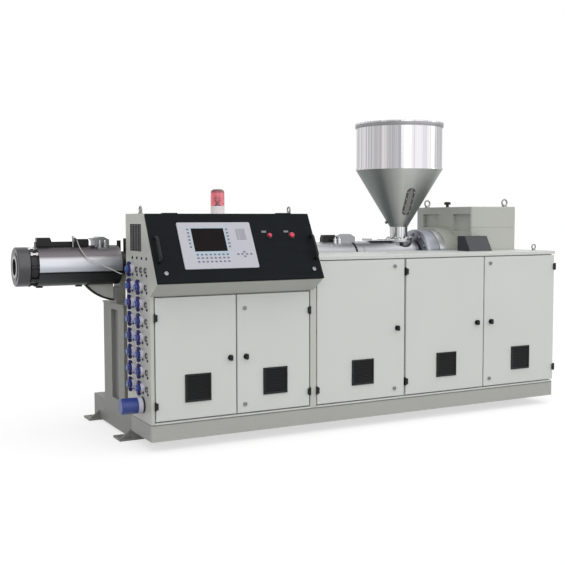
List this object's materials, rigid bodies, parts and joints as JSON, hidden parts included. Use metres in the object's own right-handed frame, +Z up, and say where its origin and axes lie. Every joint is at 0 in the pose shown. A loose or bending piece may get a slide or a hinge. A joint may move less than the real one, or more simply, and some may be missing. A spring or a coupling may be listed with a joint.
{
  "type": "plastic extruder",
  "caption": "Floor-standing twin-screw plastic extruder with cabinet base, sloping operator console, jacketed barrel and die flange, conical feed hopper and gearbox.",
  "frame": {"origin": "centre of the bounding box's underside, on the floor", "axes": "+X along the machine from the die end to the gearbox end, +Y from the doors to the rear, +Z up"},
  "size_m": [3.571, 1.2249, 1.941],
  "materials": {
    "base_paint": "semi-gloss stone-grey machine paint",
    "cabinet_paint": "fine textured powder coat, pale warm grey",
    "frame_paint": "semi-gloss machine paint",
    "gearbox_paint": "cast housing paint, grey-green",
    "hood_paint": "dark slate hammer paint",
    "black_panel": "satin black powder coat",
    "terminal_film": "pale lilac-grey membrane",
    "black_plastic": "moulded black plastic",
    "plug_blue": "moulded blue plug",
    "polished_stainless": "mirror-polished sheet",
    "satin_stainless": "satin sheet",
    "cover_stainless": "bright rolled sheet",
    "machined_steel": "turned steel, lightly oiled",
    "dark_steel": "nitrided steel",
    "red_plastic": "moulded red buttons",
    "beacon_red": "clear red dome",
    "beacon_white": "white moulded base",
    "zinc": "zinc-plated steel",
    "lead_sheath": "braided sheath, pale grey",
    "sight_glass": "clear pane over dark powder"
  },
  "bodies": {
    "machine": {"base_rails": "base_paint", "base_cross_beams": "base_paint", "base_deck": "base_paint", "plinth_front": "base_paint", "plinth_ends": "base_paint", "foot_plates": "base_paint", "cabinet_end_wall": "frame_paint", "cabinet_side_wall": "frame_paint", "cabinet_back": "frame_paint", "cabinet_roof": "frame_paint", "cabinet_fascia": "frame_paint", "cabinet_front_frame": "cabinet_paint", "end_wall_grille": "black_plastic", "cable_plugs": "plug_blue", "cabinet_hinges": "black_plastic", "enclosure_left_wall": "cabinet_paint", "enclosure_right_wall": "cabinet_paint", "enclosure_back_wall": "cabinet_paint", "enclosure_front_frame": "cabinet_paint", "enclosure_top": "cabinet_paint", "die_flange": "machined_steel", "barrel": "dark_steel", "screw_tips": "machined_steel", "barrel_collar": "dark_steel", "barrel_covers": "cover_stainless", "vent_ports": "machined_steel", "barrel_flange": "machined_steel", "distance_housing": "gearbox_paint", "barrel_support": "base_paint", "gearbox_lower": "gearbox_paint", "gearbox_upper": "gearbox_paint", "gearbox_breather": "black_plastic", "drive_hood": "hood_paint", "lifting_eyes": "zinc", "beacon_base": "beacon_white", "beacon_dome": "beacon_red", "feed_throat": "machined_steel", "hopper_neck": "polished_stainless", "hopper_cone": "satin_stainless", "hopper_cylinder": "polished_stainless", "heater_terminals": "black_plastic", "barrel_gusset": "base_paint", "gusset_edging": "black_plastic", "sight_window": "sight_glass", "thermocouple_lead": "lead_sheath"},
    "door_1": {"door_1": "cabinet_paint", "door_1_fittings": "black_plastic"},
    "door_2": {"door_2": "cabinet_paint", "door_2_fittings": "black_plastic"},
    "door_3": {"door_3": "cabinet_paint", "door_3_fittings": "black_plastic"},
    "door_4": {"door_4": "cabinet_paint", "door_4_fittings": "black_plastic"},
    "door_5": {"door_5": "cabinet_paint", "door_5_fittings": "black_plastic"},
    "console_lid": {"console_lid": "black_panel", "operator_terminal": "terminal_film", "console_buttons": "red_plastic", "console_handles_and_locks": "black_plastic"},
    "slide_gate": {"slide_gate": "machined_steel"}
  },
  "joints": [
    {"name": "door_1_hinge", "type": "hinge", "parent": "machine", "child": "door_1", "pos_m": [-1.18, -0.487, 0.5], "axis": [0, 0, -1], "range_deg": [0, 110]},
    {"name": "door_2_hinge", "type": "hinge", "parent": "machine", "child": "door_2", "pos_m": [-0.211, -0.487, 0.5], "axis": [0, 0, 1], "range_deg": [0, 90]},
    {"name": "door_3_hinge", "type": "hinge", "parent": "machine", "child": "door_3", "pos_m": [-0.164, -0.487, 0.5], "axis": [0, 0, -1], "range_deg": [0, 90]},
    {"name": "door_4_hinge", "type": "hinge", "parent": "machine", "child": "door_4", "pos_m": [0.48, -0.487, 0.5], "axis": [0, 0, -1], "range_deg": [0, 90]},
    {"name": "door_5_hinge", "type": "hinge", "parent": "machine", "child": "door_5", "pos_m": [1.7235, -0.487, 0.5], "axis": [0, 0, 1], "range_deg": [0, 110]},
    {"name": "console_lid_hinge", "type": "hinge", "parent": "machine", "child": "console_lid", "pos_m": [-0.6955, -0.413, 1.311], "axis": [-1, 0, 0], "range_deg": [0, 75]},
    {"name": "slide_gate_slide", "type": "slide", "parent": "machine", "child": "slide_gate", "axis": [1, 0, 0], "range_m": [0, 0.115]}
  ]
}
